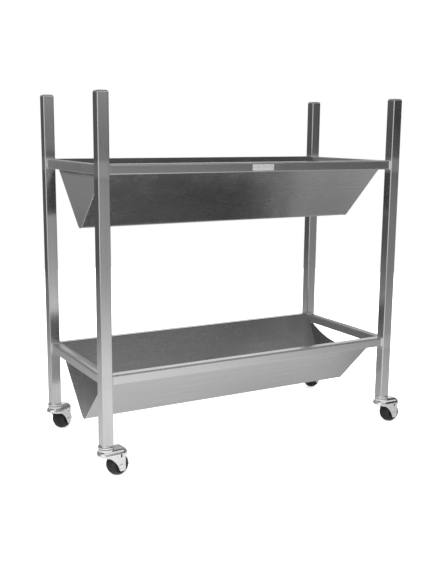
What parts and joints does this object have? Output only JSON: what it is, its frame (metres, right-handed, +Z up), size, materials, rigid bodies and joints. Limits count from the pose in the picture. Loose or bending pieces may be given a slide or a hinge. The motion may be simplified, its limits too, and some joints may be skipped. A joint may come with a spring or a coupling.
{
  "type": "shortening cart",
  "caption": "Square tube cart on ball casters with a V-shaped sheet trough at the top and another below.",
  "frame": {"origin": "on the floor, under the middle of the box round the whole cart as it stands in the picture", "axes": "+X along the long side to the right seen from the front, +Y to the back, +Z up"},
  "size_m": [1.0357, 0.4892, 1.016],
  "materials": {
    "tube_steel": "satin stainless tube, brushed along its length",
    "sheet_steel": "satin stainless sheet with a fine grain",
    "zinc_steel": "bright zinc plate",
    "hood_chrome": "bright chrome plate",
    "ball_plastic": "black moulded plastic",
    "tread_rubber": "black soft rubber"
  },
  "bodies": {
    "frame": {"post_front_left": "tube_steel", "post_cap_front_left": "tube_steel", "caster_socket_front_left": "zinc_steel", "caster_stem_front_left": "zinc_steel", "post_front_right": "tube_steel", "post_cap_front_right": "tube_steel", "caster_socket_front_right": "zinc_steel", "caster_stem_front_right": "zinc_steel", "post_rear_left": "tube_steel", "post_cap_rear_left": "tube_steel", "caster_socket_rear_left": "zinc_steel", "caster_stem_rear_left": "zinc_steel", "post_rear_right": "tube_steel", "post_cap_rear_right": "tube_steel", "caster_socket_rear_right": "zinc_steel", "caster_stem_rear_right": "zinc_steel", "upper_front_rail": "tube_steel", "upper_rear_rail": "tube_steel", "upper_left_rail": "tube_steel", "upper_right_rail": "tube_steel", "upper_trough_sheet": "sheet_steel", "upper_trough_left_end": "sheet_steel", "upper_trough_right_end": "sheet_steel", "lower_front_rail": "tube_steel", "lower_rear_rail": "tube_steel", "lower_left_rail": "tube_steel", "lower_right_rail": "tube_steel", "lower_trough_sheet": "sheet_steel", "lower_trough_left_end": "sheet_steel", "lower_trough_right_end": "sheet_steel"},
    "swivel_front_left": {"caster_bearing_front_left": "zinc_steel", "caster_hood_front_left": "hood_chrome", "caster_axle_front_left": "zinc_steel"},
    "wheel_front_left": {"wheel_core_front_left": "ball_plastic", "wheel_tread_front_left": "tread_rubber"},
    "swivel_front_right": {"caster_bearing_front_right": "zinc_steel", "caster_hood_front_right": "hood_chrome", "caster_axle_front_right": "zinc_steel"},
    "wheel_front_right": {"wheel_core_front_right": "ball_plastic", "wheel_tread_front_right": "tread_rubber"},
    "swivel_rear_left": {"caster_bearing_rear_left": "zinc_steel", "caster_hood_rear_left": "hood_chrome", "caster_axle_rear_left": "zinc_steel"},
    "wheel_rear_left": {"wheel_core_rear_left": "ball_plastic", "wheel_tread_rear_left": "tread_rubber"},
    "swivel_rear_right": {"caster_bearing_rear_right": "zinc_steel", "caster_hood_rear_right": "hood_chrome", "caster_axle_rear_right": "zinc_steel"},
    "wheel_rear_right": {"wheel_core_rear_right": "ball_plastic", "wheel_tread_rear_right": "tread_rubber"}
  },
  "joints": [
    {"name": "front_left_swivel", "type": "hinge", "parent": "frame", "child": "swivel_front_left", "pos_m": [-0.49178, -0.21527, 0.0825], "axis": [0, 0, 1], "continuous": true},
    {"name": "front_left_roll", "type": "hinge", "parent": "swivel_front_left", "child": "wheel_front_left", "pos_m": [-0.4589, -0.2124, 0.0305], "axis": [-0.0872, 0.9962, 0], "continuous": true},
    {"name": "front_right_swivel", "type": "hinge", "parent": "frame", "child": "swivel_front_right", "pos_m": [0.45437, -0.21527, 0.0825], "axis": [0, 0, 1], "continuous": true},
    {"name": "front_right_roll", "type": "hinge", "parent": "swivel_front_right", "child": "wheel_front_right", "pos_m": [0.48735, -0.21643, 0.0305], "axis": [0.0349, 0.9994, 0], "continuous": true},
    {"name": "rear_left_swivel", "type": "hinge", "parent": "frame", "child": "swivel_rear_left", "pos_m": [-0.49178, 0.19748, 0.0825], "axis": [0, 0, 1], "continuous": true},
    {"name": "rear_left_roll", "type": "hinge", "parent": "swivel_rear_left", "child": "wheel_rear_left", "pos_m": [-0.4641, 0.21545, 0.0305], "axis": [-0.5446, 0.8387, 0], "continuous": true},
    {"name": "rear_right_swivel", "type": "hinge", "parent": "frame", "child": "swivel_rear_right", "pos_m": [0.45437, 0.19748, 0.0825], "axis": [0, 0, 1], "continuous": true},
    {"name": "rear_right_roll", "type": "hinge", "parent": "swivel_rear_right", "child": "wheel_rear_right", "pos_m": [0.48538, 0.20876, 0.0305], "axis": [-0.342, 0.9397, 0], "continuous": true}
  ]
}
